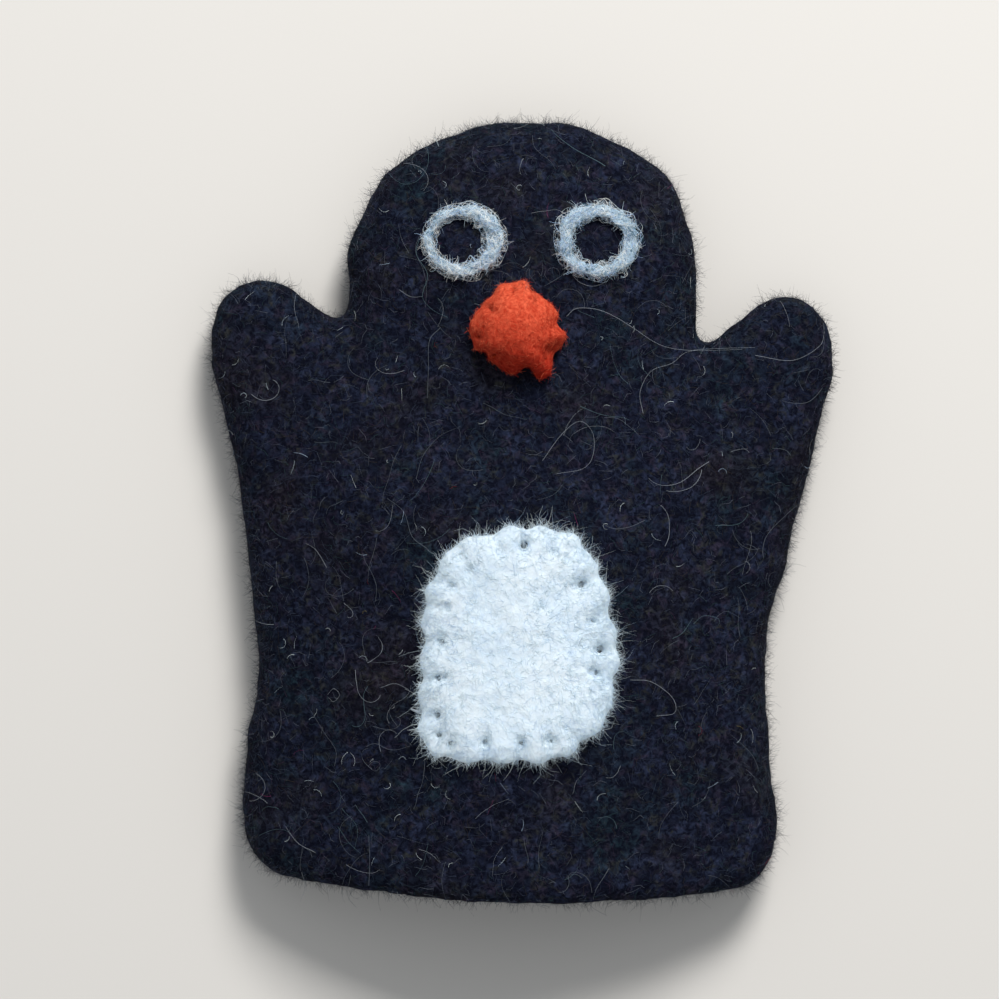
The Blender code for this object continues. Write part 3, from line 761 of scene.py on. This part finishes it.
# %% Felt drawn in by stitches
def drawn_in(piece, stitches, width, crease, dimple, puff, edge_zone, pulls):
    """Press creases and dimples into the top of a piece along its stitches, each as hard as its pull."""
    mesh = piece.data
    points = points_of(mesh)
    normals = points_of(mesh, "vertex_normals", "vector")
    nearest = np.full(len(points), 1.0)
    press = np.zeros(len(points))
    for (inner, outer), pull in zip(stitches, pulls):
        way = outer - inner
        along = np.clip(((points[:, :2] - inner) @ way) / (way @ way), 0.0, 1.6)
        beside_way = np.linalg.norm(points[:, :2] - inner - along[:, None] * way, axis=1)
        hole = np.linalg.norm(points[:, :2] - inner, axis=1)
        nearest = np.minimum(nearest, beside_way)
        here = crease * np.exp(-((beside_way / width) ** 2)) + dimple * np.exp(-((hole / width) ** 2))
        press = np.maximum(press, pull * here)
    facing = np.clip(normals[:, 2] * 1.6 + 0.3, 0.0, 1.0)
    middle = np.mean([inner for inner, _ in stitches], axis=0)
    reach = np.mean([np.linalg.norm(inner - middle) for inner, _ in stitches])
    from_middle = np.linalg.norm(points[:, :2] - middle, axis=1)
    near_edge = np.clip((from_middle - reach + edge_zone) / edge_zone, 0.0, 1.0)
    swell = puff * near_edge * (1.0 - np.exp(-((nearest / (2.4 * width)) ** 2)))
    points += normals * ((swell - press) * facing)[:, None]
    mesh.vertices.foreach_set("co", points.ravel())
    mesh.update()


def made_lumpy(piece, lumps, swell=0.0):
    """Move each point of a piece along its normal by a smooth noise, and all of them by the swell."""
    mesh = piece.data
    points, normals = points_of(mesh), points_of(mesh, "vertex_normals", "vector")
    moves = np.array([lumpy(Vector(point), lumps) + swell for point in points])
    mesh.vertices.foreach_set("co", (points + normals * moves[:, None]).ravel())
    mesh.update()


def tree_of(piece):
    bm = bmesh.new()
    bm.from_mesh(piece.data)
    tree = BVHTree.FromBMesh(bm)
    bm.free()
    return tree


print("felt can be drawn in")

# %% [markdown]
# The belly patch is a cut oval of white felt a millimetre and a half thick, laid flat on the belly. Its corners
# are round, so it has less felt than a rectangle of its size.

# %% Belly patch
PATCH_VOXEL = 0.28 * MM
PATCH_SMOOTHINGS = 34
PATCH_SWELL = -0.12 * MM
PATCH_LUMPS = ((3.4 * MM, 0.14 * MM), (1.1 * MM, 0.09 * MM), (0.55 * MM, 0.09 * MM))
CREASE_WIDTH = 0.31 * MM
CREASE_DEPTH = 0.07 * MM
DIMPLE_DEPTH = 0.32 * MM
PUFF_HEIGHT = 0.08 * MM
PUFF_ZONE = 2.5 * MM
STITCH_PULLS = (-0.30, 1.20)
PATCH_PULL_REACH = 2.6 * MM
PATCH_PULLS_PX = (((468, 549), (459, 540)), ((601, 709), (609, 715)), ((603, 583), (608, 581)))

patch = soft_copy("white_patch", "belly_patch", PATCH_VOXEL, PATCH_SMOOTHINGS)
pulls = np.random.default_rng(19).uniform(*STITCH_PULLS, len(patch_stitches)).clip(0.0)
drawn_in(patch, patch_stitches, CREASE_WIDTH, CREASE_DEPTH, DIMPLE_DEPTH, PUFF_HEIGHT, PUFF_ZONE, pulls)
pulled(patch, PATCH_PULLS_PX, PATCH_PULL_REACH)
made_lumpy(patch, PATCH_LUMPS, PATCH_SWELL)
triangles += finish_piece(patch, WHITE_FELT, ["belly_patch"])

# %% [markdown]
# White fibres lie all over the patch, and shorter ones stand up in the band next to its edge. Past the edge they
# make a fringe with a few long ones in it, which is what makes the edge look soft.

# %% White fibres
FLUFF_FIBRES = 2700
BAND_FIBRES = 1500
FRINGE_FIBRES = 5000
LONG_FIBRES = 620

random = np.random.default_rng(23)
patch_skin = Skin(patch)
patch_top = patch_skin.normals[:, 2] > 0.25
patch_rim = (patch_skin.normals[:, 2] < 0.96) & (patch_skin.normals[:, 2] > -0.5)

patch_tree = tree_of(patch)
places, normals = patch_skin.draw(FLUFF_FIBRES, random, patch_top)
lines = settled(lying(places, normals, random, 1.5 * MM, 0.15 * MM, 1.4, 4), patch_tree)
fluff = spun("white_fluff", lines, 0.032 * MM, WHITE_FIBRES, WHITE_MIX, random)
triangles += finish_piece(fluff)

patch_middle = (patch_low + patch_high) / 2.0
patch_band = patch_top & (patch_skin.normals[:, 2] < 0.995)
for name, where, count, length, lift, stray, width in (
    ("band", patch_band, BAND_FIBRES, 0.70 * MM, 0.28 * MM, 2.5, 0.040 * MM),
    ("fringe", patch_rim, FRINGE_FIBRES, 0.80 * MM, 0.62 * MM, 0.7, 0.044 * MM),
    ("edge", patch_rim, LONG_FIBRES, 2.2 * MM, 0.9 * MM, 0.8, 0.032 * MM),
):
    places, normals = patch_skin.draw(count, random, where)
    outward = unit(places - patch_middle) + random.normal(size=normals.shape) * stray
    lines = lying(places, normals, random, length, lift, 1.9, 4, outward)
    settled(lines, pouch_tree, patch_tree)
    edge = spun("white_" + name, lines, width, WHITE_FIBRES, FRINGE_MIX, random, 0.2)
    triangles += finish_piece(edge)

# %% [markdown]
# The threads are copies of the frame's, rounded by a subdivision and sunk into the creases that they press.
# The real stitches are hardly seen: what shows is where they go in. The beak's thread also pulls small teeth
# into its edge, and the beak is given the same teeth further on.

# %% Threads
PATCH_THREAD_SINKS = 0.95 * MM
BEAK_THREAD_SINKS = 1.10 * MM
SINKS_FULLY_FROM = 1.0 * MM
DRAWN_IN_FROM = 0.25
DRAWN_IN_BY = 0.55
TOOTH_REACH = 0.75 * MM
TEETH_PX = (
    ((557, 338), (563, 337)), ((558, 326), (555, 325)), ((526, 379), (527, 370)), ((553, 355), (548, 350)),
    ((478, 362), (486, 355)), ((472, 349), (475, 347)), ((484, 307), (482, 306)), ((538, 286), (532, 291)),
    ((487, 292), (490, 296)),
)


def sunk_thread(name, node, stitches, depth, finish):
    """A rounded copy of a thread, with its arches lowered into the felt and their outer ends drawn in."""
    bm = bmesh.new()
    bm.from_mesh(nodes[node].data)
    bmesh.ops.remove_doubles(bm, verts=bm.verts[:], dist=SAME_POINT)
    for vertex in bm.verts:
        over = vertex.co.z - felt_top(vertex.co.x, vertex.co.y)
        vertex.co.z -= depth * min(1.0, max(0.0, over / SINKS_FULLY_FROM))
        here = np.array(vertex.co.xy)
        inner, outer = min(stitches, key=lambda ends: np.linalg.norm((ends[0] + ends[1]) / 2.0 - here))
        along = (here - inner) @ (outer - inner) / ((outer - inner) @ (outer - inner))
        vertex.co.xy -= Vector((outer - inner) * DRAWN_IN_BY * max(0.0, along - DRAWN_IN_FROM))
    mesh = bpy.data.meshes.new(name)
    bm.to_mesh(mesh)
    bm.free()
    mesh.shade_smooth()
    thread = bpy.data.objects.new(name, mesh)
    scene.collection.objects.link(thread)
    rounded = thread.modifiers.new("rounded", "SUBSURF")
    rounded.levels = 1
    rounded.render_levels = 1
    # One subdivision makes three squares of each triangle, and they count as six triangles.
    return 6 * finish_piece(thread, finish, [node])


for name, node, stitches, depth, finish, slot, moves, reach in (
    ("patch_thread", "belly_thread", patch_stitches, PATCH_THREAD_SINKS, WHITE_THREAD, "white_thread",
     PATCH_PULLS_PX, PATCH_PULL_REACH),
    ("overcast_thread", "beak_thread", beak_stitches, BEAK_THREAD_SINKS, ORANGE_THREAD, "orange_thread",
     TEETH_PX, TOOTH_REACH),
):
    triangles += sunk_thread(name, node, stitches, depth, finish)
    pulled(bpy.data.objects[name], moves, reach)

# %% [markdown]
# Each eye is a strand of loose wool laid in a ring. A smooth ring would look like plastic, so a thin lumpy ring
# only fills the middle of the strand, and hundreds of fibres run round it. Each one follows the ring for a part
# of a turn while it drifts from the inner side to the outer. A short fuzz stands up from the ring, and a few
# wisps follow it further. The wool is brighter in some places than in others, as in a strand of mixed fibres.

# %% Eyes
RING_THICKNESS = 0.050 * MM
RING_DROP = 0.35 * MM
RING_VOXEL = 0.17 * MM
RING_SMOOTHINGS = 5
RING_LUMPS = ((1.7 * MM, 0.40 * MM), (0.5 * MM, 0.20 * MM))
RING_SWELL = -0.24 * MM
EYE_FIBRES = 620
EYE_FUZZ = 750
EYE_WISPS = 26
HOLE_SHARE = 0.56
OUTER_SHARE = 0.965
HOLE_UNEVEN = 0.13
OUTER_UNEVEN = 0.11
RING_WAVES = 2.8
LEFT_HOLE_SHIFT = 0.11
PATCH_OF_SHADE = 1.4 * MM
SHADE_SWINGS = np.array((1.0, -1.0, -3.0, 3.0))


def ring_edges(turn, seed, hole_shift):
    """Inner and outer edge of the ring in a direction, as shares of its size. Neither is quite round."""
    place = Vector((RING_WAVES * math.cos(turn), RING_WAVES * math.sin(turn), seed))
    inner = HOLE_SHARE - hole_shift * math.cos(turn) + HOLE_UNEVEN * noise.noise(place)
    outer = OUTER_SHARE + OUTER_UNEVEN * noise.noise(place + Vector((5.0, 0.0, 0.0)))
    return inner, outer


def wound(node, tree, seed, hole_shift, count, random, spans, scatter, bends):
    """Lines that run round an eye's ring, on top of its filling."""
    low, high = (np.array(corner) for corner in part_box(node))
    middle, half = (low + high)[:2] / 2.0 - (0.0, RING_DROP), (high - low)[:2] / 2.0
    lines = []
    for _ in range(count):
        start, span = random.uniform(0.0, 2.0 * math.pi), random.uniform(*spans) * random.choice((-1, 1))
        side, drift = random.uniform(0.0, 1.0), random.normal() * scatter
        phase, over = random.uniform(0.0, 6.0), random.uniform(0.02, 0.30) * MM
        line = []
        for along in np.linspace(0.0, 1.0, bends):
            turn = start + span * along
            across = side + drift * along + 0.06 * math.sin(phase + 6.0 * along)
            across = min(1.12, max(-0.06, across))
            inner, outer = ring_edges(turn, seed, hole_shift)
            place = middle + half * (inner + (outer - inner) * across) * (math.cos(turn), math.sin(turn))
            line.append((*place, max(felt_top(*place), top_of(tree, *place)) + over))
        lines.append(np.array(line))
    return lines


def patchy_mix(lines, seed):
    """Brighter wool in some places and deeper in others: a mix for each line."""
    shares = np.array([RING_MIX] * len(lines))
    for share, line in zip(shares, lines):
        bright = noise.noise(Vector(line[0]) / PATCH_OF_SHADE + Vector((seed, 0.0, 0.0)))
        share *= np.exp(bright * SHADE_SWINGS)
        share /= share.sum()
    return shares


def eye(side, seed, hole_shift, random):
    """The ring of one eye: its filling, its wound fibres, its fuzz and the wisps that leave it."""
    node = side + "_eye"
    filling = soft_copy(side + "_eye_wool", node, RING_VOXEL, RING_SMOOTHINGS)
    filling.data.transform(Matrix.Translation((0.0, -RING_DROP, 0.0)))
    made_lumpy(filling, RING_LUMPS, RING_SWELL)
    faces = finish_piece(filling, PALE_WOOL, [node])
    tree = tree_of(filling)
    lines = wound(node, tree, seed, hole_shift, EYE_FIBRES, random, (0.10, 0.50), 0.60, 5)
    strand = spun(side + "_eye_strand", lines, RING_THICKNESS, RING_FIBRES, patchy_mix(lines, seed), random)
    skin = Skin(filling)
    places, normals = skin.draw(EYE_FUZZ, random, skin.normals[:, 2] > -0.1)
    lines = settled(lying(places, normals, random, 0.80 * MM, 0.60 * MM, 1.3, 5), pouch_tree, tree)
    fuzz = spun(side + "_eye_fuzz", lines, 0.9 * RING_THICKNESS, RING_FIBRES, patchy_mix(lines, seed), random)
    lines = wound(node, tree, seed, hole_shift, EYE_WISPS, random, (0.3, 1.1), 0.7, 8)
    wisps = spun(side + "_eye_wisps", lines, 0.6 * RING_THICKNESS, RING_FIBRES, RING_MIX, random)
    return faces + sum(finish_piece(piece) for piece in (strand, fuzz, wisps))


random = np.random.default_rng(37)
triangles += eye("left", 3.0, LEFT_HOLE_SHIFT, random)
triangles += eye("right", 8.0, 0.0, random)

# %% [markdown]
# The beak is a piece of orange felt drawn up into a puffed dome. It gets lumps, the teeth that its thread pulls
# into its edge, and a short orange fuzz. Felt and fuzz both have painted light and shade: bright orange at the
# top, where the light falls, and deep red at the bottom, which is in shade.

# %% Beak
BEAK_VOXEL = 0.19 * MM
BEAK_LUMPS = ((2.4 * MM, 0.14 * MM), (0.8 * MM, 0.07 * MM))
BEAK_SWELL = 0.26 * MM
BEAK_SMOOTHINGS = 14
BEAK_FIBRES = 1900
BEAK_EDGE_FIBRES = 650

beak = soft_copy("beak_felt", "beak", BEAK_VOXEL, BEAK_SMOOTHINGS)
made_lumpy(beak, BEAK_LUMPS, BEAK_SWELL)
pulled(beak, TEETH_PX, TOOTH_REACH)
triangles += finish_piece(beak, ORANGE_FELT, ["beak"])

random = np.random.default_rng(41)
beak_skin = Skin(beak)
beak_tree = tree_of(beak)
beak_low, beak_high = (corner.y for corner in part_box("beak"))


def beak_painted_light_mix(places):
    """Painted light and shade, a mix for each place: bright orange fibres at the top, deep red ones at the shaded
    lower end.
    """
    share = np.clip((places[:, 1:2] - beak_low) / (beak_high - beak_low), 0.0, 1.0)
    return np.array(TOP_LIT_MIX) * share + np.array(BOTTOM_SHADED_MIX) * (1.0 - share)


places, normals = beak_skin.draw(BEAK_FIBRES, random, beak_skin.normals[:, 2] > -0.1)
lines = settled(lying(places, normals, random, 0.70 * MM, 0.14 * MM, 1.5, 4), pouch_tree, beak_tree)
beak_fuzz = spun("orange_fuzz", lines, 0.036 * MM, ORANGE_FIBRES, beak_painted_light_mix(places), random)
triangles += finish_piece(beak_fuzz)

places, normals = beak_skin.draw(BEAK_EDGE_FIBRES, random, np.abs(beak_skin.normals[:, 2]) < 0.7)
outward = normals + random.normal(size=normals.shape) * 0.6
lines = settled(lying(places, normals, random, 0.75 * MM, 0.25 * MM, 1.5, 4, outward), pouch_tree, beak_tree)
beak_edge = spun("orange_halo", lines, 0.032 * MM, ORANGE_FIBRES, beak_painted_light_mix(places), random)
triangles += finish_piece(beak_edge)

# %% [markdown]
# A few brown and grey hairs of the face have strayed down over the top of the beak. They start between the eyes
# and head for the hem, and are lifted over the beak where they meet it.

# %% Hairs over the beak
BROW_HAIRS = 70
BROW_PX = ((486, 548), (268, 284))
MOST_OVER_BEAK = 4.0 * MM

starts = np.array([at_pixel(*(random.uniform(*ends) for ends in BROW_PX)) for _ in range(BROW_HAIRS)])
places = np.array([(x, y, max(felt_top(x, y), top_of(beak_tree, x, y))) for x, y in starts])
upward = np.broadcast_to((0.0, 0.0, 1.0), places.shape)
heading = random.normal(size=places.shape) * 0.5 + (0.0, -1.0, 0.0)
lines = lying(places, upward, random, 1.3 * MM, 0.5 * MM, 1.6, 6, heading)
settled(lines, pouch_tree, beak_tree, most=MOST_OVER_BEAK)
brow = spun("brow_hairs", lines, 0.036 * MM, BLACK_FIBRES, BROW_MIX, random)
triangles += finish_piece(brow)

# %% [markdown]
# Last come the long hairs that lie loose on the felt, each in its own curl. A few are where the photograph
# shows them: their bends are given here by its pixels.

# %% Routes of the hairs in the photograph
PLACED_HAIRS_PX = (
    ((421, 235), (416, 252), (424, 272), (427, 290), (426, 309)),
    ((420, 240), (417, 256), (428, 276), (423, 298), (433, 311), (448, 319)),
    ((572, 277), (579, 284), (591, 288), (604, 284), (611, 277)),
    ((567, 264), (563, 275), (556, 281), (544, 288)),
    ((566, 318), (576, 310), (596, 311), (614, 318), (632, 329), (660, 346), (690, 351), (741, 350)),
    ((421, 191), (431, 189), (438, 198), (439, 212)),
    ((400, 291), (411, 298), (423, 298)),
    ((441, 329), (430, 342), (429, 370), (428, 399)),
    ((542, 461), (561, 435), (579, 422), (592, 434), (592, 456), (582, 469), (556, 474)),
    ((417, 479), (424, 456), (440, 437), (461, 427)),
    ((336, 764), (337, 748), (325, 730), (312, 709)),
    ((370, 882), (371, 858), (370, 832)),
    ((420, 845), (431, 849), (441, 858)),
    ((642, 414), (639, 393), (650, 372), (671, 364), (692, 351), (754, 348)),
    ((754, 356), (791, 361), (818, 347), (824, 332)),
    ((629, 678), (650, 680), (671, 696), (673, 711), (655, 714)),
    ((692, 623), (702, 615), (717, 618), (717, 625)),
    ((329, 693), (335, 687), (341, 693), (335, 700), (330, 696)),
    ((577, 644), (584, 633), (608, 631), (615, 644)),
    ((532, 137), (535, 150), (550, 163), (555, 171)),
    ((303, 870), (306, 885), (301, 900)),
    ((352, 872), (349, 893), (357, 905)),
    ((428, 548), (413, 536), (405, 512), (388, 498)),
    ((488, 275), (497, 270), (508, 265), (518, 266), (526, 271)),
    ((478, 279), (491, 273), (503, 274), (512, 280)),
)
print("hairs with a route:", len(PLACED_HAIRS_PX))

# %% [markdown]
# A smooth curve through the bends of a route is laid on whatever is below. The other hairs are drawn at random:
# each walks over the felt, turns by an amount that changes slowly, and stops at the felt's edge. Where a hair
# crosses the edge of the patch or the beak it may not fall straight down, so its height never drops faster than
# a set share of its length.

# %% Lines laid on the felt
HAIR_ABOVE = 0.10 * MM
HAIR_WAVE = 0.22 * MM
STEEPEST = 0.8


def surface_under(x, y):
    """Height of the highest felt under a place."""
    return max(top_of(tree, x, y) for tree in (pouch_tree, patch_tree, beak_tree))


def smooth_through(points, steps):
    """A smooth curve through points, as many points between each two as steps says."""
    padded = [2 * points[0] - points[1], *points, 2 * points[-1] - points[-2]]
    curve = []
    for before, here, after, later in zip(padded, padded[1:], padded[2:], padded[3:]):
        for step in range(steps):
            t = step / steps
            bend = 2 * here + (after - before) * t + (2 * before - 5 * here + 4 * after - later) * t ** 2
            curve.append((bend + (3 * here - before - 3 * after + later) * t ** 3) / 2)
    return curve + [points[-1]]


def laid_on_felt(flat, random):
    """A flat line laid on the puppet, a little above it. Past an edge it sticks out and sinks slowly."""
    phase = random.uniform(0.0, 6.0)
    over = HAIR_ABOVE + HAIR_WAVE * (1.0 + np.sin(phase + 0.7 * np.arange(len(flat))))
    line = np.array([(x, y, max(OFF_TABLE, surface_under(x, y) + rise)) for (x, y), rise in zip(flat, over)])
    for way in (line, line[::-1]):
        for before, point in zip(way, way[1:]):
            point[2] = max(point[2], before[2] - STEEPEST * math.hypot(*(point - before)[:2]))
    return line


def wandering(x, y, length, steps, curl, random):
    """A flat line that starts at a place, curls as it goes and stops at the edge of the felt."""
    heading = random.uniform(0.0, 2.0 * math.pi)
    bend = random.normal() * 0.6 * curl / steps
    flat = []
    while len(flat) <= steps and (len(flat) < 2 or felt_top(x, y) > OFF_TABLE):
        flat.append((x, y))
        x += length / steps * math.cos(heading)
        y += length / steps * math.sin(heading)
        bend += random.normal() * 0.45 * curl / steps
        heading += bend
    return flat


print("a hair sinks at most", STEEPEST, "mm in a millimetre")

# %% [markdown]
# The long hairs are the placed ones, some at random, and a group of tight curls to the left of the patch.

# %% Long loose hairs
HAIR_THICKNESS = 0.042 * MM
RANDOM_HAIRS = 36
CURLS = 16
CURLS_PX = ((338, 430), (556, 764))
CLEAR_OF_TRIM = 1.5 * MM

random = np.random.default_rng(53)
hairs = []
for route in PLACED_HAIRS_PX:
    bends = [np.array(at_pixel(*pixel)) for pixel in route]
    hairs.append(laid_on_felt(smooth_through(bends, 5), random))
plain = open_air * facing_up
for node in ("belly_patch", "beak", "left_eye", "right_eye"):
    low, high = (np.array(corner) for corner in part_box(node))
    plain = plain * beside(pouch_skin.middles, low, high, -CLEAR_OF_TRIM)
starts, _ = pouch_skin.draw(RANDOM_HAIRS, random, plain)
for x, y, _ in starts:
    hairs.append(laid_on_felt(wandering(x, y, random.uniform(2.0, 7.5) * MM, 14, 1.5, random), random))
for _ in range(CURLS):
    x, y = at_pixel(*(random.uniform(*ends) for ends in CURLS_PX))
    hairs.append(laid_on_felt(wandering(x, y, random.uniform(2.0, 5.5) * MM, 16, 3.0, random), random))
long_hairs = spun("loose_hairs", hairs, HAIR_THICKNESS, LOOSE_FIBRES, LOOSE_MIX, random, 0.5)
triangles += finish_piece(long_hairs)

# %% [markdown]
# Between them lie thinner hairs, short bright specks where a pale fibre shows its side, and a few stray fibres of
# red, pink and straw that the black wool picked up.

# %% Thin hairs, specks and strays
THIN_HAIR = 0.030 * MM
THIN_HAIRS = 120
SPECKS = 120
STRAYS = 28

starts, _ = pouch_skin.draw(THIN_HAIRS, random, plain)
lengths = random.uniform(1.5, 5.0, THIN_HAIRS) * MM
hairs = []
for (x, y, _), length in zip(starts, lengths):
    hairs.append(laid_on_felt(wandering(x, y, length, 9, 1.5, random), random))
thin_hairs = spun("thin_hairs", hairs, THIN_HAIR, LOOSE_FIBRES, LOOSE_MIX, random, 0.5)
triangles += finish_piece(thin_hairs)

places, normals = pouch_skin.draw(SPECKS, random, front_share)
lines = settled(lying(places, normals, random, 1.15 * MM, 0.35 * MM, 2.2, 7), pouch_tree)
specks = spun("bright_specks", lines, 0.034 * MM, WHITE_FIBRES, FRINGE_MIX, random)
triangles += finish_piece(specks)

places, normals = pouch_skin.draw(STRAYS, random, front_share)
lines = lying(places, normals, random, 1.5 * MM, 0.2 * MM, 2.5, 5)
strays = spun("coloured_strays", lines, 0.044 * MM, STRAY_FIBRES, STRAY_MIX, random)
triangles += finish_piece(strays)

# %% [markdown]
# Last, the triangles of all the new pieces are added up. The dressed puppet has to keep the size of the
# frame, apart from its loose fibres.

# %% Triangles in all
print("triangles in all:", triangles)
